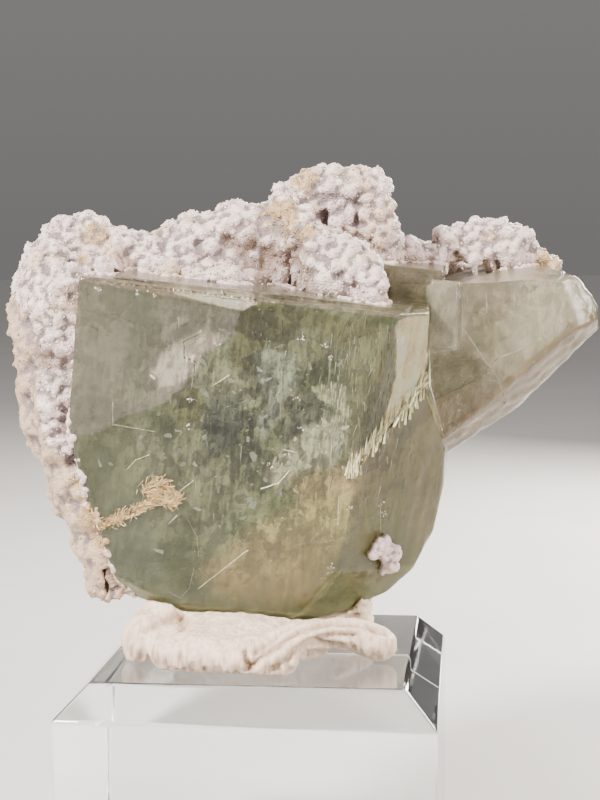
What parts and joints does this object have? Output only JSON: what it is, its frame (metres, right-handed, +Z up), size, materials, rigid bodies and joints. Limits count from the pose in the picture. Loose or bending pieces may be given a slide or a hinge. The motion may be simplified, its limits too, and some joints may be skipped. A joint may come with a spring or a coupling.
{
  "type": "fluorite specimen on display block",
  "caption": "Pale green fluorite crystals with a white, sugary quartz crust, pressed into putty on a clear acrylic display block with chamfered top edges.",
  "frame": {"origin": "middle of the display block's underside, which stands on the surface", "axes": "+Z up, -Y towards the viewer of the picture, +X to the viewer's right"},
  "size_m": [0.0653, 0.0455, 0.0778],
  "materials": {
    "fluorite": "clear to cloudy pale green crystal",
    "quartz": "sugary white",
    "putty": "soft cream white",
    "acrylic": "clear, polished"
  },
  "bodies": {
    "root": {"fluorite_crystals": "fluorite", "quartz_crust": "quartz", "quartz_patch": "quartz", "mineral_putty": "putty", "acrylic_block": "acrylic"}
  },
  "joints": []
}
